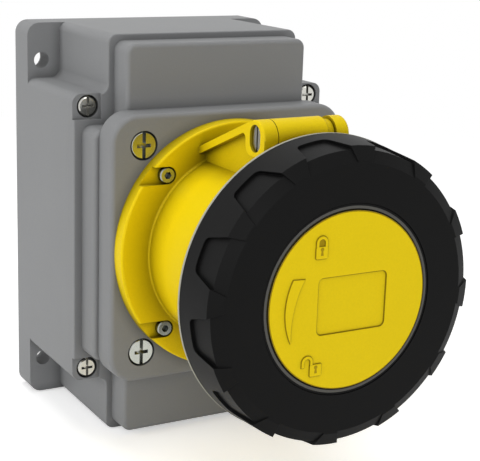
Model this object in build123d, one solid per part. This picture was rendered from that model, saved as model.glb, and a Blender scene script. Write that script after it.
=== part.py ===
from build123d import *
import math
import os

# Surface-mounted industrial socket with a hinged, ring-locked lid.
# Modelling frame, in millimetres: x to the right, y up, z out from the wall, seen from the front.
# The back face lies on z = 0 and the middle of the socket on x = y = 0.
# export() turns that frame into the shared one, where the wall normal is -Y and up is +Z.

# Wall box
BOX_HALF_W = 59.0
BOX_HALF_H = 85.2
BOX_DROP = 0.6
BOX_FLARE = 0.4
NOTCH_W = 14.9
NOTCH_H = 24.0
NOTCH_R = 4.0
SHELL_R = 3.5
EAR_T = 15.0
EAR_R = 5.5
EAR_HOLE_R = 3.5
EAR_HOLE_IN_X = 6.5
EAR_HOLE_IN_Y = 16.3
EAR_RELIEF_R = 5.0
EAR_RELIEF_DEEP = 5.0
WALL = 3.5
FLOOR = 4.0
PARTING = 62.0
POST_IN = 8.5
POST_OVER = 4.5
KNOCKOUT_R = 20.0
KNOCKOUT_SKIN = 1.0
KNOCKOUT_GROOVE = 1.2

# Cover
RIM_T = 6.7
RIM_EDGE_R = 0.6
BLOCK_RISE = 12.5
BLOCK_STEP_X = 3.0
BLOCK_STEP = 2.2
BLOCK_STEP_BAR = 12.3
BLOCK_DRAFT = 0.6
BLOCK_EDGE_R = 1.8
BLOCK_CORNER_R = 4.0
COVER_WALL = 3.0
POCKET_DROP = 1.8
POCKET_IN_X = 11.6
POCKET_IN_Y = 10.0
COVER_SCREW_IN_X = 6.3
COVER_SCREW_IN_Y = 4.8
COVER_SCREW_HEAD_R = 4.2
COVER_SCREW_HEAD_H = 3.0
COVER_SCREW_R = 1.7
COVER_SCREW_LEN = 14.0
COVER_SCREW_SINK = 2.8
COVER_SLOT_W = 1.1
COVER_SLOT_DEEP = 1.5
HEAD_CLEARANCE = 0.5

# Adapter plate
PLATE_HALF_W = 53.7
PLATE_HALF_H = 55.9
PLATE_T = 12.2
PLATE_R = 11.5
PLATE_EDGE_R = 2.0
PLATE_BORE_GAP = 1.0
PLATE_SCREW_X = 39.65
PLATE_SCREW_Y = 43.35
PLATE_SCREW_HEAD_R = 5.5
PLATE_SCREW_HEAD_H = 6.0
PLATE_SCREW_R = 2.9
PLATE_SCREW_LEN = 18.0
PLATE_SCREW_SUNK = 0.1
PLATE_SLOT_W = 1.5
PLATE_SLOT_DEEP = 2.2
PLATE_BOSS_R = 5.5
PLATE_BOSS_LEN = 12.0

# Socket body: flange, barrel and hinge arms
BARREL_R = 40.0
BARREL_WALL = 4.4
CARRIER_SEAT_WALL = 5.0
FLANGE_OVER = 12.2
FLANGE_T = 6.8
FLANGE_EDGE_R = 1.0
FLANGE_LEDGE = 7.0
BARREL_LEN = 72.8
BARREL_LIP_R = 0.8
BARREL_FOOT_R = 0.8
KEYWAY_W = 8.0
KEYWAY_DEEP = 2.0
KEYWAY_LEN = 46.0
FLANGE_SCREW_OUT = 5.4
FLANGE_SCREW_ANGLE = 44.9
FLANGE_SCREW_HEAD_R = 3.3
FLANGE_SCREW_HEAD_H = 4.0
FLANGE_SCREW_R = 2.0
FLANGE_SCREW_LEN = 9.6
FLANGE_SEAT = 4.2
FLANGE_KEY_DEEP = 2.2
CHANNEL_HALF_W = 3.6
CHANNEL_DEEP = 2.6
INSERT_R = 3.2
INSERT_LEN = 8.0

# Hinge
HINGE_OUT = 13.8
HINGE_RISE = 44.0
HINGE_R = 7.0
HINGE_HALF_W = 18.6
LEFT_EAR_LEN = 6.0
RIGHT_EAR_LEN = 5.4
RIGHT_EAR_OVER = 0.8
LEFT_EAR_EDGE_R = 0.7
RIGHT_EAR_EDGE_R = 1.8
NECK_LEN = 3.8
NECK_R = 5.8
PIN_R = 2.0
PIN_HEAD_T = 1.2
PIN_SLOT_W = 0.9
PIN_RECESS_W = 7.6
PIN_RECESS_H = 10.4
PIN_RECESS_DEEP = 2.2
ARM_ROOT_OUT = 3.0
ARM_BEAD_H = 2.8
ARM_WEB_T = 2.2
ARM_WEB_IN = 3.2
ARM_CORNER_R = 2.0
EAR_FOOT_R = 4.0
ARM_FOOT_IN = 7.2
SPRING_COIL_R = 3.4
SPRING_WIRE_R = 0.5
SPRING_PITCH = 2.4
SPRING_TURNS = 4
SPRING_ROOM_R = 4.6
SPRING_ROOM_IN = 3.2
SPRING_START_IN = 4.0
SPRING_LEG_LEN = 6.5

# Bayonet between barrel and ring
RIB_RISE = 4.5
RIB_T = 3.7
RIB_BACK = 3.0
RIB_HALF_ANGLE = 19.0
LOCK_TURN = 40.0
LUG_HALF_ANGLE = 9.0
LUG_T = 3.5
LUG_GAP = 2.3

# Lid
LID_OVER = 10.0
LID_T = 4.6
LID_GAP = 1.6
DISC_IN = 6.3
DISC_RISE = 4.2
DISC_EDGE_R = 0.6
DISC_WALL = 3.0
PANEL_W = 29.8
PANEL_H = 21.7
PANEL_X = 1.65
PANEL_Y = -1.0
PANEL_R = 2.2
PANEL_DEEP = 0.5
LID_ARM_LOW = 4.6
LID_ARM_TOP = 11.4
SEAL_W = 4.0
SEAL_OVER = 0.2
SEAL_SUNK = 1.2

# Locking ring
RING_ROOM = 14.0
RING_WALL = 3.7
RING_TAPER = 1.1
RING_FACE_IN = 6.3
RING_LEN = 21.0
RING_BEVEL = 2.6
RING_WEB_T = 3.5
RING_OPEN = 2.5
RING_LIP_T = 1.5
RING_GRIPS = 12
GRIP_PHASE = 10.0
GRIP_DEEP = 1.5
GRIP_REAR_DEEP = 0.9
GRIP_REAR_ANGLE = 6.2
GRIP_FRONT_ANGLE = 11.5
GRIP_START = 7.0
GRIP_CORNER_R = 2.6
COLLAR_W = 1.7
COLLAR_T = 1.6
COLLAR_BEVEL = 0.9
TRIM_OVER = 0.2
TRIM_W = 3.4
TRIM_T = 2.0

# Contacts and their carrier
CARRIER_LEN = 20.0
CARRIER_SUNK = 0.2
CARRIER_EDGE = 0.8
CARRIER_SKIN = 3.0
REAR_LEN = 22.0
PITCH_IN = 17.0
EARTH_ANGLE = -30.0
LINE_PIN_R = 4.0
EARTH_PIN_R = 5.0
PILOT_PIN_R = 3.0
SLEEVE_WALL = 1.5
SLEEVE_ROOM = 0.7
SLEEVE_END_GAP = 0.2
PIN_HOLE_GAP = 0.5
TAIL_LEN = 8.0
SLEEVE_COLLAR = 1.0
SLEEVE_COLLAR_T = 2.0
SLEEVE_BORE_LEN = 20.8
SLEEVE_SLOT_W = 0.8
SLEEVE_SLOT_LEN = 12.8
CONTACT_SPRING_W = 2.0
CONTACT_SPRING_T = 0.8
WIRE_SHARE = 0.56
WIRE_DEEP = 12.0
TERMINAL_SCREW_R = 1.8
TERMINAL_HEAD_R = 2.8
TERMINAL_HEAD_H = 2.4
CARRIER_SCREW_IN = 3.7
CARRIER_SCREW_R = 1.5
CARRIER_HEAD_R = 2.75
CARRIER_HEAD_H = 2.5
CARRIER_SCREW_LEN = 13.0
CARRIER_HEAD_SEAT = 8.0
CARRIER_SLOT_W = 0.8
CARRIER_SLOT_DEEP = 1.2
REAR_SCREW_OUT = 1.0
REAR_SCREW_LEN = 29.0

# Earth rail
RAIL_Y = -45.0
RAIL_LEN = 50.0
RAIL_W = 8.0
RAIL_H = 8.0
RAIL_FOOT = 4.0
RAIL_FOOT_R = 4.5
RAIL_FIX_IN = 5.0
RAIL_PITCH = 10.0
RAIL_SCREW_R = 2.0
RAIL_HEAD_R = 3.4
RAIL_HEAD_H = 2.4
RAIL_WIRE_R = 2.2

# Seals between the housings
GASKET_IN = 0.9
GASKET_W = 1.0
GASKET_T = 1.0
PLATE_GASKET_OUT = 4.6
FLANGE_GASKET_OUT = 1.4
RING_GASKET_W = 1.5

# Clearances
FIT = 0.05
RUNNING = 0.08
MOVING_GAP = 0.3
SHANK_GAP = 0.25
OVERCUT = 1.0

# Derived sizes
COLUMN_HALF_W = BOX_HALF_W - NOTCH_W
BAR_HALF_H = BOX_HALF_H - NOTCH_H
RIM_Z = PARTING + RIM_T
BLOCK_Z = RIM_Z + BLOCK_RISE
PLATE_Z = BLOCK_Z + PLATE_T
FLANGE_Z = PLATE_Z + FLANGE_T
MOUTH_Z = FLANGE_Z + BARREL_LEN
HINGE_Z = FLANGE_Z + HINGE_RISE
SEAT_Z = FLANGE_Z - CARRIER_SUNK
CARRIER_Z = SEAT_Z + CARRIER_LEN
SLEEVE_END_Z = CARRIER_Z - CARRIER_SKIN - SLEEVE_END_GAP
CONTACT_SPRING_Z = SLEEVE_END_Z - CONTACT_SPRING_W * 3
SHROUD_R = BARREL_R - BARREL_WALL
CARRIER_SEAT_R = BARREL_R - CARRIER_SEAT_WALL
FLANGE_BORE_R = CARRIER_SEAT_R - FLANGE_LEDGE
FLANGE_R = BARREL_R + FLANGE_OVER
FLANGE_SCREW_PITCH_R = BARREL_R + FLANGE_SCREW_OUT
FLANGE_SCREW_X = FLANGE_SCREW_PITCH_R * math.cos(math.radians(FLANGE_SCREW_ANGLE))
FLANGE_SCREW_Y = FLANGE_SCREW_PITCH_R * math.sin(math.radians(FLANGE_SCREW_ANGLE))
PLATE_BORE_R = BARREL_R + PLATE_BORE_GAP
PLATE_GASKET_R = PLATE_BORE_R + PLATE_GASKET_OUT
FLANGE_GASKET_R = PLATE_BORE_R + FLANGE_GASKET_OUT
HINGE_Y = BARREL_R + HINGE_OUT
ARM_ROOT_Y = BARREL_R + ARM_ROOT_OUT
ARM_FOOT_Y = BARREL_R - ARM_FOOT_IN
LEFT_EAR_X = LEFT_EAR_LEN - HINGE_HALF_W
RIGHT_EAR_X = HINGE_HALF_W - RIGHT_EAR_LEN
NECK_X = RIGHT_EAR_X - NECK_LEN
LID_R = BARREL_R + LID_OVER
DISC_R = BARREL_R - DISC_IN
DISC_HOLLOW_R = DISC_R - DISC_WALL
SEAL_OUT_R = BARREL_R + SEAL_OVER
SEAL_IN_R = SEAL_OUT_R - SEAL_W
REAR_Z = SEAT_Z - REAR_LEN
TAIL_Z = REAR_Z - TAIL_LEN
LID_BACK_Z = MOUTH_Z + LID_GAP
LID_FRONT_Z = LID_BACK_Z + LID_T
DISC_Z = LID_FRONT_Z + DISC_RISE
WEB_Z = LID_FRONT_Z + MOVING_GAP
RING_FRONT_Z = WEB_Z + RING_WEB_T
RING_REAR_Z = RING_FRONT_Z - RING_LEN
RING_INNER_R = BARREL_R + RING_ROOM
RING_REAR_R = RING_INNER_R + RING_WALL
RING_SIDE_R = RING_REAR_R - RING_TAPER
RING_FACE_R = RING_REAR_R - RING_FACE_IN
RING_OPEN_R = DISC_R + RING_OPEN
COLLAR_R = DISC_R + COLLAR_W
LIP_Z = WEB_Z + RING_LIP_T
RIB_FRONT_Z = MOUTH_Z - RIB_BACK
RIB_REAR_Z = RIB_FRONT_Z - RIB_T
LUG_FRONT_Z = RIB_REAR_Z - MOVING_GAP
CARRIER_R = CARRIER_SEAT_R - FIT
PITCH_R = CARRIER_SEAT_R - PITCH_IN
CARRIER_SCREW_PITCH_R = CARRIER_SEAT_R - CARRIER_SCREW_IN
REAR_SCREW_PITCH_R = PITCH_R + REAR_SCREW_OUT
BOX_Y = -BOX_DROP


def rod(radius, z0, z1, x=0.0, y=0.0):
    """Round bar along the depth, from z0 to z1."""
    bar = Cylinder(radius, z1 - z0, align=(Align.CENTER, Align.CENTER, Align.MIN))
    return Pos(x, y, z0) * bar


def tube(inner, outer, z0, z1, x=0.0, y=0.0):
    """Round tube along the depth."""
    return rod(outer, z0, z1, x, y) - rod(inner, z0 - OVERCUT, z1 + OVERCUT, x, y)


def rod_x(radius, x0, x1):
    """Round bar on the hinge axis, from x0 to x1."""
    bar = Cylinder(radius, x1 - x0, align=(Align.CENTER, Align.CENTER, Align.MIN))
    return Pos(x0, HINGE_Y, HINGE_Z) * Rot(0, 90, 0) * bar


def block(x0, x1, y0, y1, z0, z1):
    """Plain block between two corners."""
    return Pos((x0 + x1) / 2, (y0 + y1) / 2, (z0 + z1) / 2) * Box(x1 - x0, y1 - y0, z1 - z0)


def four(x, y):
    """The four positions mirrored about both axes."""
    return [(sx * x, sy * y) for sx in (-1, 1) for sy in (-1, 1)]


def on_circle(radius, angle):
    """Position on a circle round the socket's middle, angle in degrees from +x towards +y."""
    return radius * math.cos(math.radians(angle)), radius * math.sin(math.radians(angle))


def cross(bar_x, bar_y, column_x, column_y, corner_r, inner_r):
    """Plus-shaped outline: a wide bar and a tall column, all corners rounded."""
    outline = RectangleRounded(2 * bar_x, 2 * bar_y, corner_r)
    outline += RectangleRounded(2 * column_x, 2 * column_y, corner_r)
    inner = [
        v
        for v in outline.vertices()
        if abs(abs(v.X) - column_x) < 0.01 and abs(abs(v.Y) - bar_y) < 0.01
    ]
    return Pos(0, BOX_Y) * fillet(inner, inner_r)


def shell_outline(inset):
    """Outline of the wall box, drawn in by the inset."""
    return cross(
        BOX_HALF_W - inset,
        BAR_HALF_H - inset,
        COLUMN_HALF_W - inset,
        BOX_HALF_H - inset,
        max(SHELL_R - inset, 0.6),
        NOTCH_R + inset,
    )


def block_outline(inset):
    """Outline of the cover's raised block, drawn in by the inset."""
    return cross(
        BOX_HALF_W - BLOCK_STEP_X - inset,
        BAR_HALF_H - BLOCK_STEP_BAR - inset,
        COLUMN_HALF_W - BLOCK_STEP - inset,
        BOX_HALF_H - BLOCK_STEP - inset,
        max(BLOCK_CORNER_R - inset, 0.8),
        BLOCK_CORNER_R + inset,
    )


def raise_outline(outline, z0, z1, taper=0.0):
    """Outline turned into a solid from z0 to z1."""
    return Pos(0, 0, z0) * extrude(outline, z1 - z0, taper=taper)


def in_box(places):
    """Positions moved from the box's own middle to the socket's."""
    return [(x, y + BOX_Y) for x, y in places]


def cover_screw_places():
    """The four small screws that close the box."""
    return in_box(four(BOX_HALF_W - COVER_SCREW_IN_X, BAR_HALF_H - COVER_SCREW_IN_Y))


def combination_slot(x, y, top, head_r, width, deep, share):
    """Slot across the head with a short crossing slot, seen on both screw sizes."""
    slot = block(x - width / 2, x + width / 2, y - head_r - 1, y + head_r + 1, top - deep, top + 1)
    half = head_r * share
    short = block(x - half, x + half, y - width / 2, y + width / 2, top - deep, top + 1)
    return slot + short


def base():
    """Moulded wall box: ears, walls, screw posts, rail feet and a knock-out at the bottom."""
    ears = Pos(0, BOX_Y) * RectangleRounded(2 * BOX_HALF_W, 2 * BOX_HALF_H, EAR_R)
    walls = loft([shell_outline(0), Pos(0, 0, PARTING) * shell_outline(-BOX_FLARE)])
    body = raise_outline(ears, 0, EAR_T) + walls
    body -= raise_outline(shell_outline(WALL), FLOOR, PARTING + OVERCUT)
    for x, y in in_box(four(BOX_HALF_W - EAR_HOLE_IN_X, BOX_HALF_H - EAR_HOLE_IN_Y)):
        body -= rod(EAR_HOLE_R, -OVERCUT, EAR_T + OVERCUT, x, y)
        body -= rod(EAR_RELIEF_R, -OVERCUT, EAR_RELIEF_DEEP, x, y)
    body += base_posts()
    for x, y in cover_screw_places():
        depth = COVER_SCREW_LEN + 2
        body -= rod(COVER_SCREW_R + FIT, PARTING - depth, PARTING + OVERCUT, x, y)
    for x in rail_fix_places():
        body += rod(RAIL_FOOT_R, FLOOR - OVERCUT, FLOOR + RAIL_FOOT, x, RAIL_Y)
        body -= rod(RAIL_SCREW_R + FIT, FLOOR - 2, FLOOR + RAIL_FOOT + OVERCUT, x, RAIL_Y)
    groove = shell_outline(GASKET_IN - FIT) - shell_outline(GASKET_IN + GASKET_W + FIT)
    body -= raise_outline(groove, PARTING - GASKET_T, PARTING + OVERCUT)
    return body - knockout_groove()


def base_posts():
    """Corner posts that take the cover screws, grown from the walls."""
    posts = []
    for sx, sy in four(1, 1):
        x0, x1 = sorted((sx * (BOX_HALF_W - 1.0), sx * (BOX_HALF_W - COVER_SCREW_IN_X - POST_OVER)))
        y0, y1 = sorted((sy * (BAR_HALF_H - 1.0), sy * (BAR_HALF_H - POST_IN)))
        posts.append(block(x0, x1, y0 + BOX_Y, y1 + BOX_Y, FLOOR - OVERCUT, PARTING))
    return posts


def knockout_groove():
    """Round groove inside the bottom wall, where a cable entry breaks out."""
    middle = (FLOOR + PARTING) / 2
    inner = KNOCKOUT_R - KNOCKOUT_GROOVE
    ring = tube(inner, KNOCKOUT_R, 0, WALL - KNOCKOUT_SKIN + OVERCUT)
    return Pos(0, BOX_Y - BOX_HALF_H + KNOCKOUT_SKIN, middle) * Rot(-90, 0, 0) * ring


def cover():
    """Front half of the box: rim, raised block, corner pockets and screw bosses."""
    rim = raise_outline(shell_outline(-BOX_FLARE), PARTING, RIM_Z)
    rim = fillet(rim.faces().sort_by(Axis.Z)[-1].edges(), RIM_EDGE_R)
    raised = raise_outline(block_outline(0), RIM_Z - 0.5, BLOCK_Z, BLOCK_DRAFT)
    raised = fillet(raised.faces().sort_by(Axis.Z)[-1].edges(), BLOCK_EDGE_R)
    body = rim + raised
    body -= raise_outline(block_outline(COVER_WALL), PARTING - OVERCUT, BLOCK_Z - WALL)
    boss_top = BLOCK_Z - WALL + 0.5
    for x, y in four(PLATE_SCREW_X, PLATE_SCREW_Y):
        body += rod(PLATE_BOSS_R, boss_top - PLATE_BOSS_LEN, boss_top, x, y)
        body -= rod(PLATE_SCREW_R + FIT, PARTING, BLOCK_Z + OVERCUT, x, y)
    body -= rod(PLATE_BORE_R, PARTING, BLOCK_Z + OVERCUT)
    return body - cover_pockets()


def cover_pockets():
    """Lowered corners of the rim with the round recesses of the small screws."""
    cuts = []
    floor = RIM_Z - POCKET_DROP
    seat = floor - COVER_SCREW_SINK
    for x, y in cover_screw_places():
        sx = math.copysign(1, x)
        sy = math.copysign(1, y)
        x0, x1 = sorted((sx * (BOX_HALF_W + 1), sx * (BOX_HALF_W - POCKET_IN_X)))
        y0, y1 = sorted((sy * (BAR_HALF_H + 1), sy * (BAR_HALF_H - POCKET_IN_Y)))
        cuts.append(block(x0, x1, y0 + BOX_Y, y1 + BOX_Y, floor, RIM_Z + OVERCUT))
        cuts.append(rod(COVER_SCREW_HEAD_R + HEAD_CLEARANCE, seat, RIM_Z, x, y))
        cuts.append(rod(COVER_SCREW_R + SHANK_GAP, PARTING - OVERCUT, seat + OVERCUT, x, y))
    return cuts


def cover_screws():
    """Small pan-head screws that hold the cover to the box."""
    seat = RIM_Z - POCKET_DROP - COVER_SCREW_SINK
    top = seat + COVER_SCREW_HEAD_H
    screws = []
    for x, y in cover_screw_places():
        head = rod(COVER_SCREW_HEAD_R, seat, top, x, y)
        head = chamfer(head.edges().sort_by(Axis.Z)[-1], COVER_SCREW_HEAD_H * 0.25)
        head += rod(COVER_SCREW_R, seat - COVER_SCREW_LEN, seat, x, y)
        screws.append(head - combination_slot(x, y, top, COVER_SCREW_HEAD_R, COVER_SLOT_W, COVER_SLOT_DEEP, 0.6))
    return screws


def cover_gasket():
    """Seal in the groove of the box's front edge."""
    ring = shell_outline(GASKET_IN) - shell_outline(GASKET_IN + GASKET_W)
    return raise_outline(ring, PARTING - GASKET_T, PARTING)


def adapter_plate():
    """Thick square plate on the cover that carries the socket body."""
    body = raise_outline(RectangleRounded(2 * PLATE_HALF_W, 2 * PLATE_HALF_H, PLATE_R), BLOCK_Z, PLATE_Z)
    body = fillet(body.faces().sort_by(Axis.Z)[-1].edges(), PLATE_EDGE_R)
    body -= rod(PLATE_BORE_R, BLOCK_Z - OVERCUT, PLATE_Z + OVERCUT)
    seat = PLATE_Z - PLATE_SCREW_HEAD_H
    for x, y in four(PLATE_SCREW_X, PLATE_SCREW_Y):
        body -= rod(PLATE_SCREW_HEAD_R + HEAD_CLEARANCE, seat, PLATE_Z + OVERCUT, x, y)
        body -= rod(PLATE_SCREW_R + SHANK_GAP, BLOCK_Z - OVERCUT, seat + OVERCUT, x, y)
    for x, y in four(FLANGE_SCREW_X, FLANGE_SCREW_Y):
        body -= rod(INSERT_R + FIT, PLATE_Z - INSERT_LEN, PLATE_Z + OVERCUT, x, y)
    groove = tube(
        PLATE_GASKET_R - RING_GASKET_W / 2 - FIT,
        PLATE_GASKET_R + RING_GASKET_W / 2 + FIT,
        BLOCK_Z - OVERCUT,
        BLOCK_Z + GASKET_T,
    )
    return body - groove


def adapter_screws():
    """Large slotted screws in the adapter plate's counterbores."""
    seat = PLATE_Z - PLATE_SCREW_HEAD_H
    top = PLATE_Z - PLATE_SCREW_SUNK
    screws = []
    for x, y in four(PLATE_SCREW_X, PLATE_SCREW_Y):
        head = rod(PLATE_SCREW_HEAD_R, seat, top, x, y)
        head = chamfer(head.edges().sort_by(Axis.Z)[-1], 0.4)
        head += rod(PLATE_SCREW_R, seat - PLATE_SCREW_LEN, seat, x, y)
        screws.append(head - combination_slot(x, y, top, PLATE_SCREW_HEAD_R, PLATE_SLOT_W, PLATE_SLOT_DEEP, 0.55))
    return screws


def adapter_gasket():
    """Round seal between cover and adapter plate."""
    half = RING_GASKET_W / 2
    return tube(PLATE_GASKET_R - half, PLATE_GASKET_R + half, BLOCK_Z, BLOCK_Z + GASKET_T)


def flange_inserts():
    """Threaded brass inserts in the adapter plate."""
    return [
        tube(FLANGE_SCREW_R + FIT, INSERT_R, PLATE_Z - INSERT_LEN, PLATE_Z, x, y)
        for x, y in four(FLANGE_SCREW_X, FLANGE_SCREW_Y)
    ]


def flange_gasket():
    """Round seal between adapter plate and socket flange."""
    half = RING_GASKET_W / 2
    return tube(FLANGE_GASKET_R - half, FLANGE_GASKET_R + half, PLATE_Z, PLATE_Z + GASKET_T)


def flange():
    """Round flange with four screw seats, each in a channel open to the edge."""
    body = rod(FLANGE_R, PLATE_Z, FLANGE_Z)
    body = fillet(body.edges().sort_by(Axis.Z)[-1], FLANGE_EDGE_R)
    for x, y in four(FLANGE_SCREW_X, FLANGE_SCREW_Y):
        x0, x1 = sorted((x, math.copysign(FLANGE_R + 1, x)))
        floor = FLANGE_Z - CHANNEL_DEEP
        channel = block(x0, x1, y - CHANNEL_HALF_W, y + CHANNEL_HALF_W, floor, FLANGE_Z + 1)
        body -= channel + rod(CHANNEL_HALF_W, floor, FLANGE_Z + 1, x, y)
        body -= rod(FLANGE_SCREW_HEAD_R + FIT, FLANGE_Z - FLANGE_SEAT, FLANGE_Z + 1, x, y)
        body -= rod(FLANGE_SCREW_R + SHANK_GAP, PLATE_Z - 1, FLANGE_Z, x, y)
    groove = tube(
        FLANGE_GASKET_R - RING_GASKET_W / 2 - FIT,
        FLANGE_GASKET_R + RING_GASKET_W / 2 + FIT,
        PLATE_Z - OVERCUT,
        PLATE_Z + GASKET_T,
    )
    return body - groove


def barrel():
    """Round barrel with a small round at its foot and a rounded mouth."""
    body = rod(BARREL_R, FLANGE_Z - 1, MOUTH_Z)
    body = fillet(body.edges().sort_by(Axis.Z)[-1], BARREL_LIP_R)
    return body + foot_round()


def foot_round():
    """Concave round between flange and barrel, turned round the socket's axis."""
    r = BARREL_FOOT_R
    corner = Polygon(
        (BARREL_R - 1, FLANGE_Z - 1),
        (BARREL_R + r, FLANGE_Z - 1),
        (BARREL_R + r, FLANGE_Z),
        (BARREL_R, FLANGE_Z + r),
        (BARREL_R - 1, FLANGE_Z + r),
        align=None,
    )
    corner -= Pos(BARREL_R + r, FLANGE_Z + r) * Circle(r)
    return revolve(Plane.XZ * corner, Axis.Z)


def sector(inner, outer, z0, z1, middle, half_angle):
    """Piece of a round tube between two angles."""
    reach = outer * 1.5
    a0 = math.radians(middle - half_angle)
    a1 = math.radians(middle + half_angle)
    wedge = Polygon(
        (0, 0),
        (reach * math.cos(a0), reach * math.sin(a0)),
        (reach * math.cos(a1), reach * math.sin(a1)),
        align=None,
    )
    return tube(inner, outer, z0, z1) & raise_outline(wedge, z0 - 1, z1 + 1)


def barrel_ribs():
    """Two ribs that hold the ring's lugs once the ring is turned."""
    ribs = []
    for lug_angle in (0.0, 180.0):
        middle = lug_angle - LOCK_TURN + 2
        ribs.append(
            sector(BARREL_R - 1, BARREL_R + RIB_RISE, RIB_REAR_Z, RIB_FRONT_Z, middle, RIB_HALF_ANGLE)
        )
    return ribs


def arm_tangent():
    """Point where the arm's upper edge touches the hinge ear, as (y, z)."""
    dy = HINGE_Y - ARM_ROOT_Y
    dz = HINGE_RISE
    reach = math.hypot(dy, dz)
    angle = math.atan2(dy, dz) + math.asin(HINGE_R / reach)
    along = math.sqrt(reach * reach - HINGE_R * HINGE_R)
    return ARM_ROOT_Y + along * math.sin(angle), FLANGE_Z + along * math.cos(angle), angle


def on_side(outline, x0, x1):
    """Outline drawn in (y, z) and given a width along x."""
    return Pos(x0, 0, 0) * extrude(Plane.YZ * outline, x1 - x0)


def hinge_arm(side):
    """One hinge arm: a web between a flange along its upper edge and the boss of the ear."""
    top_y, top_z, angle = arm_tangent()
    slope = math.tan(angle)
    front_z = HINGE_Z + HINGE_R
    whole = Polygon(
        (ARM_ROOT_Y - slope, FLANGE_Z - 1),
        (top_y, top_z),
        (HINGE_Y, HINGE_Z),
        (HINGE_Y, front_z),
        (ARM_FOOT_Y, front_z),
        (ARM_FOOT_Y, FLANGE_Z - 1),
        align=None,
    )
    boss_y = HINGE_Y - HINGE_R
    boss_z = HINGE_Z - HINGE_R
    edge_y = ARM_ROOT_Y - ARM_BEAD_H / math.cos(angle)
    upper = (edge_y + (boss_z - FLANGE_Z) * slope, boss_z)
    pocket = Polygon(
        (edge_y - 2 * slope, FLANGE_Z - 2),
        upper,
        (boss_y, boss_z),
        (boss_y, front_z + 1),
        (ARM_FOOT_Y - 1, front_z + 1),
        (ARM_FOOT_Y - 1, FLANGE_Z - 2),
        align=None,
    )
    pocket = fillet(corners_at(pocket, upper), ARM_CORNER_R)
    pocket = fillet(corners_at(pocket, (boss_y, boss_z)), EAR_FOOT_R)
    inner_x = HINGE_HALF_W - ARM_WEB_IN
    whole_x = sorted((side * (inner_x - ARM_WEB_T), side * HINGE_HALF_W))
    pocket_x = sorted((side * inner_x, side * (HINGE_HALF_W + 1)))
    return on_side(whole, *whole_x) - on_side(pocket, *pocket_x)


def corners_at(outline, place):
    """Corners of a flat outline that lie at one place."""
    return [v for v in outline.vertices() if math.hypot(v.X - place[0], v.Y - place[1]) < 0.01]


def hinge_ears():
    """Both ears, the left one long, each on a foot down to the barrel."""
    left = rod_x(HINGE_R, -HINGE_HALF_W, LEFT_EAR_X)
    left = fillet(left.edges().sort_by(Axis.X)[0], LEFT_EAR_EDGE_R)
    right = rod_x(HINGE_R, RIGHT_EAR_X, HINGE_HALF_W + RIGHT_EAR_OVER)
    right = fillet(right.edges().sort_by(Axis.X)[-1], RIGHT_EAR_EDGE_R)
    z0 = HINGE_Z - HINGE_R * 0.8
    z1 = HINGE_Z + HINGE_R * 0.8
    outer = HINGE_HALF_W - ARM_WEB_IN
    feet = block(-outer, LEFT_EAR_X, ARM_FOOT_Y, HINGE_Y, z0, z1)
    feet += block(RIGHT_EAR_X, outer, ARM_FOOT_Y, HINGE_Y, z0, z1)
    return left + right + feet


def pin_cuts():
    """Bore of the hinge pin, the recess of its head and the hole of the spring's leg."""
    bore = rod_x(PIN_R + FIT, -HINGE_HALF_W - 1, HINGE_HALF_W - 1.0)
    recess = SlotOverall(PIN_RECESS_H, PIN_RECESS_W)
    cut = extrude(Plane.YZ * recess, PIN_RECESS_DEEP + 1)
    cut = Pos(-HINGE_HALF_W - 1, HINGE_Y, HINGE_Z) * cut
    leg = Pos(0, SPRING_COIL_R, 0) * rod_x(SPRING_WIRE_R + FIT, LEFT_EAR_X - 3, LEFT_EAR_X + 1)
    return [bore, cut, leg]


def socket_body():
    """Flange, barrel, shroud bore with keyway, bayonet ribs and hinge arms in one moulding."""
    body = flange() + barrel()
    body += barrel_ribs()
    body += hinge_arm(-1) + hinge_arm(1)
    body += hinge_ears()
    body -= rod(CARRIER_SEAT_R, SEAT_Z, MOUTH_Z)
    body -= rod(SHROUD_R, CARRIER_Z, MOUTH_Z + OVERCUT)
    body -= rod(FLANGE_BORE_R, PLATE_Z - OVERCUT, FLANGE_Z + OVERCUT)
    floor_y = -(SHROUD_R + KEYWAY_DEEP)
    half = KEYWAY_W / 2
    body -= block(-half, half, floor_y, -SHROUD_R / 2, MOUTH_Z - KEYWAY_LEN, MOUTH_Z + OVERCUT)
    for x, y in carrier_screw_places():
        body -= rod(CARRIER_SCREW_R + FIT, PLATE_Z - OVERCUT, FLANGE_Z, x, y)
    return body - pin_cuts()


def flange_screws():
    """Socket-head screws of the flange."""
    seat = FLANGE_Z - FLANGE_SEAT
    top = seat + FLANGE_SCREW_HEAD_H
    screws = []
    for x, y in four(FLANGE_SCREW_X, FLANGE_SCREW_Y):
        head = rod(FLANGE_SCREW_HEAD_R, seat, top, x, y)
        head = chamfer(head.edges().sort_by(Axis.Z)[-1], 0.4)
        head += rod(FLANGE_SCREW_R, seat - FLANGE_SCREW_LEN, seat, x, y)
        key = raise_outline(RegularPolygon(FLANGE_SCREW_HEAD_R * 0.48, 6), top - FLANGE_KEY_DEEP, top + 1)
        screws.append(head - Pos(x, y, 0) * key)
    return screws


def hinge_pin():
    """Steel pin with an oblong slotted head, held from turning in the left ear's recess."""
    head_x = PIN_RECESS_DEEP - HINGE_HALF_W
    pin = rod_x(PIN_R, head_x - 0.5, HINGE_HALF_W - 1.3)
    oblong = SlotOverall(PIN_RECESS_H - 2 * SHANK_GAP, PIN_RECESS_W - 2 * SHANK_GAP)
    head = Pos(head_x - PIN_HEAD_T, HINGE_Y, HINGE_Z) * extrude(Plane.YZ * oblong, PIN_HEAD_T)
    half = PIN_SLOT_W / 2
    x0 = head_x - PIN_HEAD_T - OVERCUT
    y0 = HINGE_Y - PIN_RECESS_H / 2
    y1 = HINGE_Y + PIN_RECESS_H / 2
    slot = block(x0, head_x - PIN_HEAD_T / 2, y0, y1, HINGE_Z - half, HINGE_Z + half)
    return pin + head - slot


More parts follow.
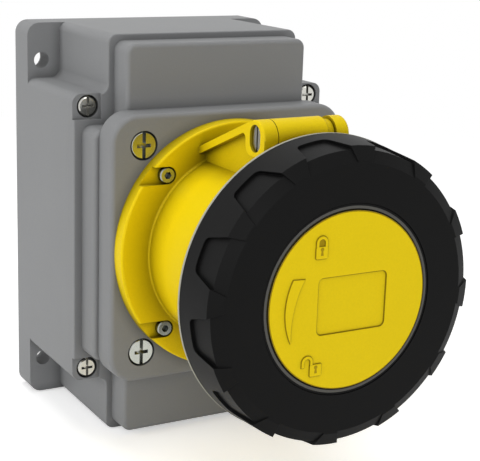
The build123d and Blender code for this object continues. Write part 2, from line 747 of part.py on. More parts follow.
def hinge_spring():
    """Coil round the pin inside the lid's knuckle, its leg held by the left ear."""
    path = Helix(SPRING_PITCH, SPRING_PITCH * SPRING_TURNS, SPRING_COIL_R)
    wire = Plane(origin=path @ 0, z_dir=path % 0) * Rectangle(2 * SPRING_WIRE_R, 2 * SPRING_WIRE_R)
    coil = sweep(wire, path=path)
    start = LEFT_EAR_X + SPRING_START_IN
    leg = rod(SPRING_WIRE_R, -SPRING_LEG_LEN, 0, SPRING_COIL_R, 0)
    knee = Pos(SPRING_COIL_R, 0, 0) * Sphere(SPRING_WIRE_R)
    place = Plane(origin=(start, HINGE_Y, HINGE_Z), x_dir=(0, 1, 0), z_dir=(1, 0, 0))
    return place * (coil + leg + knee)


def lid():
    """Yellow lid: plate, front disc with a blank panel, arm and knuckle."""
    plate = rod(LID_R, LID_BACK_Z, LID_FRONT_Z)
    disc = rod(DISC_R, LID_FRONT_Z - 1, DISC_Z)
    disc = fillet(disc.edges().sort_by(Axis.Z)[-1], DISC_EDGE_R)
    panel = raise_outline(RectangleRounded(PANEL_W, PANEL_H, PANEL_R), DISC_Z - PANEL_DEEP, DISC_Z + 1)
    body = plate + disc - Pos(PANEL_X, PANEL_Y, 0) * panel
    body -= rod(DISC_HOLLOW_R, LID_BACK_Z - 1, DISC_Z - DISC_WALL)
    body -= tube(SEAL_IN_R - FIT, SEAL_OUT_R + FIT, LID_BACK_Z - 1, LID_BACK_Z + SEAL_SUNK)
    x0 = LEFT_EAR_X + MOVING_GAP
    body += block(x0, NECK_X, BARREL_R + LID_ARM_LOW, BARREL_R + LID_ARM_TOP, HINGE_Z, LID_FRONT_Z)
    body += rod_x(HINGE_R, x0, NECK_X)
    body += rod_x(NECK_R, NECK_X - 1, RIGHT_EAR_X - MOVING_GAP)
    body -= rod_x(PIN_R + RUNNING, x0 - 1, RIGHT_EAR_X)
    room = LEFT_EAR_X + SPRING_ROOM_IN
    body -= rod_x(SPRING_ROOM_R, room, room + SPRING_PITCH * (SPRING_TURNS + 1))
    return body - rod_x(SPRING_COIL_R + SPRING_WIRE_R + MOVING_GAP, x0 - 1, room + 1)


def lid_seal():
    """Soft ring that the lid presses on the barrel's mouth."""
    return tube(SEAL_IN_R, SEAL_OUT_R, MOUTH_Z + MOVING_GAP, LID_BACK_Z + SEAL_SUNK)


def ring_profile(rear_drop, front_drop):
    """Outer side of the ring as (r, z) points, lowered by the two drops."""
    return [
        (RING_REAR_R - rear_drop, RING_REAR_Z),
        (RING_SIDE_R - front_drop, RING_FRONT_Z - RING_BEVEL),
        (RING_FACE_R - front_drop / 2, RING_FRONT_Z),
    ]


def revolve_profile(points):
    """Closed (r, z) profile turned round the socket's axis."""
    face = Plane.XZ * Polygon(*points, align=None)
    return revolve(face, Axis.Z)


def grip_cut(angle):
    """Trapezoid block that opens one grip recess, wider towards the front."""
    rear = RING_REAR_R * math.tan(math.radians(GRIP_REAR_ANGLE))
    front = RING_FACE_R * math.tan(math.radians(GRIP_FRONT_ANGLE))
    z0 = RING_REAR_Z + GRIP_START
    z1 = RING_FRONT_Z + 1
    shape = Polygon((-rear, z0), (rear, z0), (front, z1), (-front, z1), align=None)
    low = [v for v in shape.vertices() if abs(v.Y - z0) < 0.01]
    shape = fillet(low, GRIP_CORNER_R)
    reach = RING_REAR_R + 4
    prism = extrude(Plane.XZ * shape, -reach)
    return Rot(0, 0, angle - 90) * prism


def locking_ring():
    """Black ring that turns on the lid and grips the barrel's ribs."""
    side = ring_profile(0, 0)
    inside = [
        (RING_OPEN_R, RING_FRONT_Z),
        (RING_OPEN_R, LIP_Z),
        (DISC_R + RUNNING, LIP_Z),
        (DISC_R + RUNNING, WEB_Z),
        (RING_INNER_R, WEB_Z),
        (RING_INNER_R, RING_REAR_Z),
    ]
    body = revolve_profile(side + inside)
    lowered = ring_profile(GRIP_REAR_DEEP, GRIP_DEEP)
    core = revolve_profile(lowered + [(0, RING_FRONT_Z), (0, RING_REAR_Z)])
    for index in range(RING_GRIPS):
        body -= grip_cut(GRIP_PHASE + index * 360 / RING_GRIPS) - core
    for angle in (0.0, 180.0):
        inner = BARREL_R + LUG_GAP
        rear = LUG_FRONT_Z - LUG_T
        body += sector(inner, RING_INNER_R + 1, rear, LUG_FRONT_Z, angle, LUG_HALF_ANGLE)
    return body


def retaining_collar():
    """Bevelled collar on the lid's disc that keeps the ring on."""
    back = LIP_Z + MOVING_GAP
    body = tube(DISC_R, COLLAR_R, back, back + COLLAR_T)
    edge = [e for e in body.edges().filter_by(GeomType.CIRCLE) if e.radius > COLLAR_R - 0.01]
    return chamfer(max(edge, key=lambda e: e.center().Z), COLLAR_BEVEL)


def edge_trim():
    """Thin light ring on the locking ring's rear edge."""
    outer = RING_REAR_R + TRIM_OVER
    return tube(outer - TRIM_W, outer, RING_REAR_Z - TRIM_T, RING_REAR_Z)


def contacts():
    """Each contact as (name, pin radius, x, y, direction of its terminal screw)."""
    earth = on_circle(PITCH_R, EARTH_ANGLE)
    line_a = on_circle(PITCH_R, EARTH_ANGLE + 120)
    line_b = on_circle(PITCH_R, EARTH_ANGLE + 240)
    return [
        ("line", LINE_PIN_R, line_a[0], line_a[1], EARTH_ANGLE + 120),
        ("line", LINE_PIN_R, line_b[0], line_b[1], EARTH_ANGLE + 240),
        ("earth", EARTH_PIN_R, earth[0], earth[1], EARTH_ANGLE),
        ("pilot", PILOT_PIN_R, 0.0, 0.0, EARTH_ANGLE + 60),
    ]


def carrier_screw_places():
    """Screws that hold the carrier on the flange's ledge."""
    return [on_circle(CARRIER_SCREW_PITCH_R, EARTH_ANGLE + turn) for turn in (90, 270)]


def rear_screw_places():
    """Screws that join the carrier's halves, between the contacts."""
    return [on_circle(REAR_SCREW_PITCH_R, EARTH_ANGLE + turn) for turn in (60, 180, 300)]


def carrier_front():
    """Insulating block with the pin holes, on the ledge inside the shroud."""
    body = rod(CARRIER_R, SEAT_Z, CARRIER_Z)
    body = chamfer(body.edges().sort_by(Axis.Z)[-1], CARRIER_EDGE)
    sleeve_end = CARRIER_Z - CARRIER_SKIN
    for _, pin_r, x, y, _ in contacts():
        outer = pin_r + SLEEVE_WALL
        body -= rod(pin_r + PIN_HOLE_GAP, SEAT_Z, CARRIER_Z + OVERCUT, x, y)
        body -= rod(outer + SLEEVE_ROOM, SEAT_Z, sleeve_end, x, y)
        body -= rod(outer + SLEEVE_COLLAR + FIT, SEAT_Z - OVERCUT, SEAT_Z + SLEEVE_COLLAR_T + FIT, x, y)
    for x, y in carrier_screw_places():
        body -= rod(CARRIER_HEAD_R + FIT, SEAT_Z + CARRIER_HEAD_SEAT, CARRIER_Z + OVERCUT, x, y)
        body -= rod(CARRIER_SCREW_R + SHANK_GAP, SEAT_Z - OVERCUT, CARRIER_Z, x, y)
    for x, y in rear_screw_places():
        body -= rod(CARRIER_SCREW_R + FIT, SEAT_Z - OVERCUT, SEAT_Z + REAR_SCREW_LEN - REAR_LEN + 1, x, y)
    return body


def carrier_rear():
    """Rear half of the carrier, through the flange's bore."""
    body = rod(FLANGE_BORE_R - MOVING_GAP, REAR_Z, SEAT_Z)
    for _, pin_r, x, y, _ in contacts():
        body -= rod(pin_r + SLEEVE_WALL + FIT, REAR_Z - OVERCUT, SEAT_Z + OVERCUT, x, y)
    for x, y in rear_screw_places():
        body -= rod(CARRIER_SCREW_R + SHANK_GAP, REAR_Z - OVERCUT, SEAT_Z + OVERCUT, x, y)
    return body


def carrier_screws():
    """Two screws from the front, heads sunk in the carrier."""
    seat = SEAT_Z + CARRIER_HEAD_SEAT
    top = seat + CARRIER_HEAD_H
    screws = []
    for x, y in carrier_screw_places():
        screw = rod(CARRIER_HEAD_R, seat, top, x, y)
        screw += rod(CARRIER_SCREW_R, seat - CARRIER_SCREW_LEN, seat, x, y)
        screws.append(screw - combination_slot(x, y, top, CARRIER_HEAD_R, CARRIER_SLOT_W, CARRIER_SLOT_DEEP, 0.6))
    return screws


def carrier_rear_screws():
    """Three screws from behind that join the carrier's halves."""
    screws = []
    back = REAR_Z - CARRIER_HEAD_H
    for x, y in rear_screw_places():
        screw = rod(CARRIER_HEAD_R, back, REAR_Z, x, y)
        screw += rod(CARRIER_SCREW_R, REAR_Z, REAR_Z + REAR_SCREW_LEN, x, y)
        half = CARRIER_SLOT_W / 2
        screws.append(screw - block(x - 4, x + 4, y - half, y + half, back - 1, back + CARRIER_SLOT_DEEP))
    return screws


def sleeve(pin_r, x, y, angle):
    """Slotted contact sleeve with a collar, a wire hole and a cross hole for its screw."""
    outer = pin_r + SLEEVE_WALL
    end = SLEEVE_END_Z
    body = rod(outer, TAIL_Z, end) + rod(outer + SLEEVE_COLLAR, SEAT_Z, SEAT_Z + SLEEVE_COLLAR_T)
    body -= rod(pin_r + FIT, end - SLEEVE_BORE_LEN, end + OVERCUT)
    half = SLEEVE_SLOT_W / 2
    body -= block(-outer - 1, outer + 1, -half, half, end - SLEEVE_SLOT_LEN, end + OVERCUT)
    body -= block(-half, half, -outer - 1, outer + 1, end - SLEEVE_SLOT_LEN, end + OVERCUT)
    spring_z = CONTACT_SPRING_Z
    body -= tube(outer - 0.4, outer + 1, spring_z - FIT, spring_z + CONTACT_SPRING_W + FIT)
    body -= rod(outer * WIRE_SHARE, TAIL_Z - OVERCUT, TAIL_Z + WIRE_DEEP)
    hole = Pos(0, 0, TAIL_Z + TAIL_LEN / 2) * Rot(0, 90, 0)
    align = (Align.CENTER, Align.CENTER, Align.MIN)
    body -= hole * Cylinder(TERMINAL_SCREW_R + FIT, outer + 1, align=align)
    return Pos(x, y, 0) * Rot(0, 0, angle) * body


def contact_sleeves(kind):
    """All sleeves of one kind."""
    return [sleeve(pin_r, x, y, angle) for name, pin_r, x, y, angle in contacts() if name == kind]


def contact_springs():
    """Spring rings that close the slotted sleeves on the pins."""
    z0 = CONTACT_SPRING_Z
    rings = []
    for _, pin_r, x, y, _ in contacts():
        inner = pin_r + SLEEVE_WALL - 0.4
        rings.append(tube(inner, inner + CONTACT_SPRING_T, z0, z0 + CONTACT_SPRING_W, x, y))
    return rings


def terminal_screws():
    """Side screws that clamp the wires in the sleeves' tails."""
    screws = []
    for _, pin_r, x, y, angle in contacts():
        outer = pin_r + SLEEVE_WALL
        tip = outer * WIRE_SHARE * 0.6
        align = (Align.CENTER, Align.CENTER, Align.MIN)
        shank = Pos(0, 0, tip) * Cylinder(TERMINAL_SCREW_R, outer - tip, align=align)
        head = Pos(0, 0, outer) * Cylinder(TERMINAL_HEAD_R, TERMINAL_HEAD_H, align=align)
        slot = Pos(0, 0, outer + TERMINAL_HEAD_H) * Box(8, 0.8, 2.4)
        screw = Rot(0, 90, 0) * (shank + head - slot)
        screws.append(Pos(x, y, TAIL_Z + TAIL_LEN / 2) * Rot(0, 0, angle) * screw)
    return screws


def rail_fix_places():
    """Where the earth rail is fixed along x."""
    return [-(RAIL_LEN / 2 - RAIL_FIX_IN), RAIL_LEN / 2 - RAIL_FIX_IN]


def rail_clamp_places():
    """Where the earth rail clamps wires along x."""
    return [-RAIL_PITCH, 0.0, RAIL_PITCH]


def earth_rail():
    """Brass bar for the earth wires, on two feet of the box."""
    z0 = FLOOR + RAIL_FOOT
    z1 = z0 + RAIL_H
    half = RAIL_W / 2
    body = block(-RAIL_LEN / 2, RAIL_LEN / 2, RAIL_Y - half, RAIL_Y + half, z0, z1)
    for x in rail_fix_places():
        body -= rod(RAIL_SCREW_R + SHANK_GAP, z0 - 1, z1 + 1, x, RAIL_Y)
    for x in rail_clamp_places():
        body -= rod(RAIL_SCREW_R + FIT, (z0 + z1) / 2, z1 + 1, x, RAIL_Y)
        wire = Cylinder(RAIL_WIRE_R, RAIL_W + 2)
        body -= Pos(x, RAIL_Y, (z0 + z1) / 2) * Rot(90, 0, 0) * wire
    return body


def rail_screw(x, length):
    """Slotted screw on the earth rail."""
    seat = FLOOR + RAIL_FOOT + RAIL_H
    top = seat + RAIL_HEAD_H
    screw = rod(RAIL_HEAD_R, seat, top, x, RAIL_Y) + rod(RAIL_SCREW_R, seat - length, seat, x, RAIL_Y)
    return screw - block(x - 5, x + 5, RAIL_Y - 0.5, RAIL_Y + 0.5, top - 1.2, top + 1)


def earth_rail_fixings():
    """Two long screws that fix the rail."""
    return [rail_screw(x, RAIL_H + RAIL_FOOT) for x in rail_fix_places()]


def earth_rail_screws():
    """Three short screws that clamp wires in the rail."""
    return [rail_screw(x, RAIL_H / 2) for x in rail_clamp_places()]


def export(name, shape):
    """Write one node, turned into the shared frame with up as +Z and the wall behind as +Y."""
    pieces = list(shape) if isinstance(shape, (list, tuple)) else [shape]
    solids = [solid for piece in pieces for solid in (Plane.XZ * piece).solids()]
    whole = solids[0] if len(solids) == 1 else Compound(children=solids)
    export_step(whole, os.path.join("parts", name + ".step"))


def main():
    """Build every node."""
    os.makedirs("parts", exist_ok=True)
    export("base", base())
    export("cover", cover())
    export("cover_screws", cover_screws())
    export("cover_gasket", cover_gasket())
    export("adapter_plate", adapter_plate())
    export("adapter_screws", adapter_screws())
    export("adapter_gasket", adapter_gasket())
    export("flange_inserts", flange_inserts())
    export("flange_gasket", flange_gasket())
    export("socket_body", socket_body())
    export("flange_screws", flange_screws())
    export("hinge_pin", hinge_pin())
    export("hinge_spring", hinge_spring())
    export("lid", lid())
    export("lid_seal", lid_seal())
    export("locking_ring", locking_ring())
    export("retaining_collar", retaining_collar())
    export("edge_trim", edge_trim())
    export("carrier_front", carrier_front())
    export("carrier_rear", carrier_rear())
    export("carrier_screws", carrier_screws())
    export("carrier_rear_screws", carrier_rear_screws())
    export("line_contacts", contact_sleeves("line"))
    export("earth_contact", contact_sleeves("earth"))
    export("pilot_contact", contact_sleeves("pilot"))
    export("contact_springs", contact_springs())
    export("terminal_screws", terminal_screws())
    export("earth_rail", earth_rail())
    export("earth_rail_fixings", earth_rail_fixings())
    export("earth_rail_screws", earth_rail_screws())


main()
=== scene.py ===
"""Surface-mounted industrial socket: finishes, small relief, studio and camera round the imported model."""

import logging
import math
from dataclasses import dataclass, field
from enum import Enum

import bmesh
import bpy
from mathutils import Matrix, Vector


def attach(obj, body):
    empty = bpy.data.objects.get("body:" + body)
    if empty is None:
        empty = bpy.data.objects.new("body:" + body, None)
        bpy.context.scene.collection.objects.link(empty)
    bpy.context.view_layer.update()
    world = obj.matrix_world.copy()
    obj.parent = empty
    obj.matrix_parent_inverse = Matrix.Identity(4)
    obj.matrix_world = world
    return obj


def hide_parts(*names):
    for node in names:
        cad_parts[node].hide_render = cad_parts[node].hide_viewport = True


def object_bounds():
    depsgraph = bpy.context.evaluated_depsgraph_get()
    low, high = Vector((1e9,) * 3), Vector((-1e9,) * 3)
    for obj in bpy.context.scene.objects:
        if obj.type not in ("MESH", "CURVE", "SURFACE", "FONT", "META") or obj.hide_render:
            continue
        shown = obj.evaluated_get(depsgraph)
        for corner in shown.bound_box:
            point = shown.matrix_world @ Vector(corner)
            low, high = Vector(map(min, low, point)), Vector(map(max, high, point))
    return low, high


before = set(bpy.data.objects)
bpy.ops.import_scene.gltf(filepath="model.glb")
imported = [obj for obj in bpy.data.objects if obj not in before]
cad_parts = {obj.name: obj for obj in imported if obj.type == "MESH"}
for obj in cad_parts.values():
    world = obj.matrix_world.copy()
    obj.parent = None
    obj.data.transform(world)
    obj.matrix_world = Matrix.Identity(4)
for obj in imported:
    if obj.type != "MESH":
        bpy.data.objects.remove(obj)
CAD_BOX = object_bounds()
LOG = logging.getLogger("socket")

MM = 0.001
PAINTED_SHADE_SAMPLES = 8
BEVEL_SAMPLES = 4
SHARP_ANGLE = math.radians(30)

Outline = list[tuple[float, float]]
Triple = tuple[float, float, float]


class Body(Enum):
    """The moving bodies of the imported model, which the added pieces ride on."""

    LID = "lid"
    RING = "ring"


def srgb(code: str) -> tuple[float, float, float, float]:
    """Turns an sRGB hex value into linear colour.

    Args:
        code: six hex digits, such as "8C8C8A".

    Returns:
        Linear red, green, blue and an alpha of 1.
    """
    parts = [int(code[i : i + 2], 16) / 255 for i in (0, 2, 4)]
    lin = [c / 12.92 if c <= 0.04045 else ((c + 0.055) / 1.055) ** 2.4 for c in parts]
    return (lin[0], lin[1], lin[2], 1.0)


def node(
    tree: bpy.types.NodeTree, kind: str, settings: dict | None = None, links: dict | None = None
) -> bpy.types.Node:
    """Adds one shader node with its settings and links.

    Args:
        tree: the material's or world's node tree.
        kind: the node's type name.
        settings: socket or property values by name.
        links: sockets to connect, by input name or index.

    Returns:
        The new node.
    """
    made = tree.nodes.new(kind)
    for name, value in (settings or {}).items():
        if isinstance(name, int) or name in made.inputs:
            made.inputs[name].default_value = value
        else:
            setattr(made, name, value)
    for name, source in (links or {}).items():
        tree.links.new(source, made.inputs[name])
    return made


def painted_crease_shade(tree: bpy.types.NodeTree, reach_mm: float, depth: float) -> bpy.types.NodeSocket:
    """Paints shade into corners and slots, darkening the colour where facing walls shut light out.

    Args:
        tree: the material's node tree.
        reach_mm: how far away a facing wall still counts, in millimetres.
        depth: how strongly the corners darken, 1 for as much as they are shut in.

    Returns:
        A factor of 1 in the open, falling towards 0 in a slot.
    """
    shut = node(tree, "ShaderNodeAmbientOcclusion", {"samples": PAINTED_SHADE_SAMPLES, "Distance": reach_mm * MM})
    return node(tree, "ShaderNodeMath", {"operation": "POWER", 1: depth}, {0: shut.outputs["AO"]}).outputs[0]


def start_material(name: str) -> tuple[bpy.types.Material, bpy.types.NodeTree]:
    """Makes an empty node material.

    Args:
        name: the finish's name.

    Returns:
        The material and its cleared node tree.
    """
    made = bpy.data.materials.new(name)
    made.use_nodes = True
    made.node_tree.nodes.clear()
    return made, made.node_tree


@dataclass(frozen=True)
class MouldedPlastic:
    """Injection-moulded thermoplastic from a spark-eroded tool: fine even grain, soft satin gloss.

    The colours are the body's, that of its slow flow marks and that of the painted highlight on its edges.
    The painted highlight shows where the true and the softened surface turn apart, between the cosines
    highlight_from and highlight_full.
    """

    name: str
    colour: str
    mottle: str
    edge_highlight_colour: str
    roughness: float
    grain_mm: float
    grain_height_mm: float
    gloss: float
    ior: float = 1.52
    flow_mm: float = 22.0
    edge_mm: float = 0.35
    painted_shade_mm: float = 5.0
    painted_shade_depth: float = 0.6
    speck: float = 0.045
    satin_spread: float = 0.08
    grain_strength: float = 0.4
    highlight_from: float = 0.985
    highlight_full: float = 0.8
    edge_highlight_share: float = 0.6

    def tone(
        self, tree: bpy.types.NodeTree, place: bpy.types.NodeSocket, edge: bpy.types.NodeSocket
    ) -> bpy.types.NodeSocket:
        """Mixes the colour: slow flow marks, fine pigment specks, painted edge highlight, painted corner
        shade.

        Args:
            tree: the material's node tree.
            place: object coordinates.
            edge: mask of the painted highlight, 0 on flat faces, rising on edges.

        Returns:
            The colour socket.
        """
        flow = node(
            tree, "ShaderNodeTexNoise", {"Scale": 1 / (self.flow_mm * MM), "Detail": 3.0}, {"Vector": place}
        )
        slow = node(
            tree,
            "ShaderNodeMix",
            {"data_type": "RGBA", 6: srgb(self.colour), 7: srgb(self.mottle)},
            {0: flow.outputs["Fac"]},
        )
        speck = node(
            tree,
            "ShaderNodeTexNoise",
            {"Scale": 1 / (2 * self.grain_mm * MM), "Detail": 2.0},
            {"Vector": place},
        )
        shade = node(
            tree,
            "ShaderNodeMapRange",
            {"To Min": 1 - self.speck, "To Max": 1 + self.speck},
            {"Value": speck.outputs["Fac"]},
        )
        fine = node(
            tree,
            "ShaderNodeVectorMath",
            {"operation": "SCALE"},
            {0: slow.outputs[2], "Scale": shade.outputs["Result"]},
        )
        # painted highlight: edges take a paler colour, as if they caught the light
        highlighted = node(
            tree,
            "ShaderNodeMix",
            {"data_type": "RGBA", 7: srgb(self.edge_highlight_colour)},
            {0: edge, 6: fine.outputs["Vector"]},
        )
        # painted shade: the colour darkens in corners and slots
        dull = node(
            tree,
            "ShaderNodeVectorMath",
            {"operation": "SCALE"},
            {0: highlighted.outputs[2], "Scale": painted_crease_shade(tree, self.painted_shade_mm, self.painted_shade_depth)},
        )
        return dull.outputs["Vector"]

    def material(self) -> bpy.types.Material:
        """Builds the plastic.

        Returns:
            The finished material.
        """
        made, tree = start_material(self.name)
        place = node(tree, "ShaderNodeTexCoord").outputs["Object"]
        flat = node(tree, "ShaderNodeNewGeometry").outputs["Normal"]
        soft = node(
            tree, "ShaderNodeBevel", {"samples": BEVEL_SAMPLES, "Radius": self.edge_mm * MM}
        ).outputs["Normal"]
        turn = node(tree, "ShaderNodeVectorMath", {"operation": "DOT_PRODUCT"}, {0: flat, 1: soft})
        # mask for the painted edge highlight, where the true and softened normals turn apart
        edge = node(
            tree,
            "ShaderNodeMapRange",
            {"From Min": self.highlight_from, "From Max": self.highlight_full, "To Min": 0.0, "To Max": self.edge_highlight_share},
            {"Value": turn.outputs["Value"]},
        )
        grain = node(
            tree, "ShaderNodeTexNoise", {"Scale": 1 / (self.grain_mm * MM), "Detail": 4.0}, {"Vector": place}
        )
        satin = node(
            tree,
            "ShaderNodeMapRange",
            {"To Min": self.roughness - self.satin_spread, "To Max": self.roughness + self.satin_spread},
            {"Value": grain.outputs["Fac"]},
        )
        bump = node(
            tree,
            "ShaderNodeBump",
            {"Strength": self.grain_strength, "Distance": self.grain_height_mm * MM},
            {"Height": grain.outputs["Fac"], "Normal": soft},
        )
        shell = node(
            tree,
            "ShaderNodeBsdfPrincipled",
            {"IOR": self.ior, "Specular IOR Level": self.gloss},
            {
                "Base Color": self.tone(tree, place, edge.outputs["Result"]),
                "Roughness": satin.outputs["Result"],
                "Normal": bump.outputs["Normal"],
            },
        )
        node(tree, "ShaderNodeOutputMaterial", links={"Surface": shell.outputs["BSDF"]})
        return made


@dataclass(frozen=True)
class WorkedMetal:
    """Turned or headed metal: fine tool marks and a slightly uneven plating.

    The colours are the metal's and that of the clouds in its plating. Painted shade darkens its slots and
    corners.
    """

    name: str
    colour: str
    stain: str
    roughness: float
    mark_mm: float
    painted_shade_mm: float = 1.9
    painted_shade_depth: float = 1.1
    cloud_mm: float = 3.0
    smoother: float = 0.05
    rougher: float = 0.08
    mark_height_mm: float = 0.01
    mark_strength: float = 0.2

    def material(self) -> bpy.types.Material:
        """Builds the metal.

        Returns:
            The finished material.
        """
        made, tree = start_material(self.name)
        place = node(tree, "ShaderNodeTexCoord").outputs["Object"]
        cloud = node(
            tree, "ShaderNodeTexNoise", {"Scale": 1 / (self.cloud_mm * MM), "Detail": 3.0}, {"Vector": place}
        )
        tone = node(
            tree,
            "ShaderNodeMix",
            {"data_type": "RGBA", 6: srgb(self.colour), 7: srgb(self.stain)},
            {0: cloud.outputs["Fac"]},
        )
        # painted shade: the colour darkens in corners and slots
        dull = node(
            tree,
            "ShaderNodeVectorMath",
            {"operation": "SCALE"},
            {0: tone.outputs[2], "Scale": painted_crease_shade(tree, self.painted_shade_mm, self.painted_shade_depth)},
        )
        marks = node(
            tree, "ShaderNodeTexNoise", {"Scale": 1 / (self.mark_mm * MM), "Detail": 5.0}, {"Vector": place}
        )
        rough = node(
            tree,
            "ShaderNodeMapRange",
            {"To Min": self.roughness - self.smoother, "To Max": self.roughness + self.rougher},
            {"Value": marks.outputs["Fac"]},
        )
        bump = node(
            tree,
            "ShaderNodeBump",
            {"Strength": self.mark_strength, "Distance": self.mark_height_mm * MM},
            {"Height": marks.outputs["Fac"]},
        )
        shell = node(
            tree,
            "ShaderNodeBsdfPrincipled",
            {"Metallic": 1.0},
            {
                "Base Color": dull.outputs["Vector"],
                "Roughness": rough.outputs["Result"],
                "Normal": bump.outputs["Normal"],
            },
        )
        node(tree, "ShaderNodeOutputMaterial", links={"Surface": shell.outputs["BSDF"]})
        return made


# The real grains and tool marks are about 0.05 to 0.1 mm, too fine to show here. Each is drawn at 0.2 to
# 0.4 mm, as coarse as it needs to be to break up the highlights.

# Light grey ABS of the box: spark-eroded grain, dull enough to hide the flow marks.
GREY_ABS = MouldedPlastic(
    name="grey_abs_moulded",
    colour="8D8E8F",
    mottle="898A8B",
    edge_highlight_colour="9A9B9C",
    roughness=0.5,
    grain_mm=0.35,
    grain_height_mm=0.03,
    gloss=0.2,
)
# Signal yellow polyamide: a smoother tool, so its highlights are wide and soft. Painted shade reaches far
# into its deep corners.
YELLOW_PA = MouldedPlastic(
    name="yellow_polyamide_moulded",
    colour="FCDC0A",
    mottle="F9D908",
    edge_highlight_colour="FDE22C",
    roughness=0.45,
    grain_mm=0.4,
    grain_height_mm=0.015,
    gloss=0.12,
    painted_shade_mm=15.0,
    painted_shade_depth=1.35,
)
# The same polyamide, darker as painted shade: in the sharp corner round a raised mark, in openings and
# keyholes.
YELLOW_PA_PAINTED_SHADE = MouldedPlastic(
    name="yellow_polyamide_corner_shade",
    colour="BC9E12",
    mottle="B49610",
    edge_highlight_colour="BC9E12",
    roughness=0.6,
    grain_mm=0.4,
    grain_height_mm=0.01,
    gloss=0.1,
)
# Black glass-filled polyamide: the filler dulls it, only grazing sides turn grey, and painted shade darkens
# its corners strongly.
BLACK_PA = MouldedPlastic(
    name="black_glass_filled_polyamide_moulded",
    colour="0E0E0E",
    mottle="111111",
    edge_highlight_colour="202020",
    roughness=0.5,
    grain_mm=0.3,
    grain_height_mm=0.03,
    gloss=0.085,
    painted_shade_mm=2.0,
    painted_shade_depth=2.5,
)
# Dark grey acetal of the collar: a shade lighter and smoother than the ring.
GREY_ACETAL = MouldedPlastic(
    name="dark_grey_acetal_moulded",
    colour="5A5955",
    mottle="5E5D58",
    edge_highlight_colour="6A6965",
    roughness=0.4,
    grain_mm=0.3,
    grain_height_mm=0.01,
    gloss=0.15,
)
# Light grey thermoplastic elastomer of the trim: matt and a little warm.
PALE_ELASTOMER = MouldedPlastic(
    name="pale_elastomer_moulded",
    colour="B6B5A5",
    mottle="AEAD9D",
    edge_highlight_colour="C0BFAF",
    roughness=0.6,
    grain_mm=0.3,
    grain_height_mm=0.02,
    gloss=0.2,
)
# Black phenolic of the contact carrier: hard, with a low sheen.
BLACK_PHENOLIC = MouldedPlastic(
    name="black_phenolic_moulded",
    colour="252422",
    mottle="2B2A27",
    edge_highlight_colour="383734",
    roughness=0.42,
    grain_mm=0.25,
    grain_height_mm=0.02,
    gloss=0.4,
)
# Black nitrile rubber of the seals: matt, nearly no highlight.
BLACK_NITRILE = MouldedPlastic(
    name="black_nitrile_moulded",
    colour="1B1B1B",
    mottle="202020",
    edge_highlight_colour="262626",
    roughness=0.75,
    grain_mm=0.3,
    grain_height_mm=0.03,
    gloss=0.2,
)
# Zinc-plated steel of the small screws, the pin and the springs: cold-headed, so the plating clouds a little.
ZINC_STEEL = WorkedMetal(
    name="zinc_plated_steel_headed",
    colour="DCDBD4",
    stain="C6C5BE",
    roughness=0.18,
    mark_mm=0.25,
    painted_shade_depth=0.85,
)
# The same steel on the large screws: painted shade darkens only part of the wide slot, and the driver has
# dulled the rest.
LARGE_STEEL = WorkedMetal(
    name="zinc_plated_steel_large_headed",
    colour="CFD2CB",
    stain="BABEB7",
    roughness=0.22,
    mark_mm=0.3,
    painted_shade_mm=2.4,
    painted_shade_depth=0.9,
)
# The same steel on the socket-head screws: dulled by grease, with deep painted shade in its hexagon.
DULL_STEEL = WorkedMetal(
    name="zinc_plated_steel_dulled",
    colour="AFB3AC",
    stain="9BA09A",
    roughness=0.22,
    mark_mm=0.3,
    painted_shade_mm=2.4,
    painted_shade_depth=1.5,
)
# Brass of the contacts, the inserts and the earth rail: turned, with fine marks and a warm sheen.
TURNED_BRASS = WorkedMetal(
    name="brass_turned",
    colour="D6B266",
    stain="C39E55",
    roughness=0.26,
    mark_mm=0.2,
)

Finish = MouldedPlastic | WorkedMetal


@dataclass
class Dresser:
    """Gives finishes to CAD nodes and to added pieces, one material for each finish."""

    made: dict[str, bpy.types.Material] = field(default_factory=dict)

    def material(self, finish: Finish) -> bpy.types.Material:
        """Looks a finish's material up, and builds it the first time.

        Args:
            finish: what the piece is made of.

        Returns:
            The material, the same one for every piece of this finish.
        """
        if finish.name not in self.made:
            self.made[finish.name] = finish.material()
        return self.made[finish.name]

    def paint(self, piece: bpy.types.Object, finish: Finish) -> None:
        """Puts one finish on all of a piece's material slots.

        Args:
            piece: a mesh object.
            finish: what it is made of.
        """
        if not piece.material_slots:
            piece.data.materials.append(self.material(finish))
        for place in piece.material_slots:
            place.material = self.material(finish)

    def nodes(self, finish: Finish, *names: str) -> None:
        """Dresses CAD nodes.

        Args:
            finish: what they are made of.
            names: the nodes' names.
        """
        for name in names:
            self.paint(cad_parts[name], finish)
            LOG.info("node %s: %s", name, finish.name)


def into_scene(name: str, bm: bmesh.types.BMesh) -> bpy.types.Object:
    """Turns a finished shape into an object of the scene.

    Args:
        name: the piece's name.
        bm: its shape, which is freed.

    Returns:
        The new object.
    """
    mesh = bpy.data.meshes.new(name)
    bm.to_mesh(mesh)
    bm.free()
    made = bpy.data.objects.new(name, mesh)
    bpy.context.scene.collection.objects.link(made)
    return made


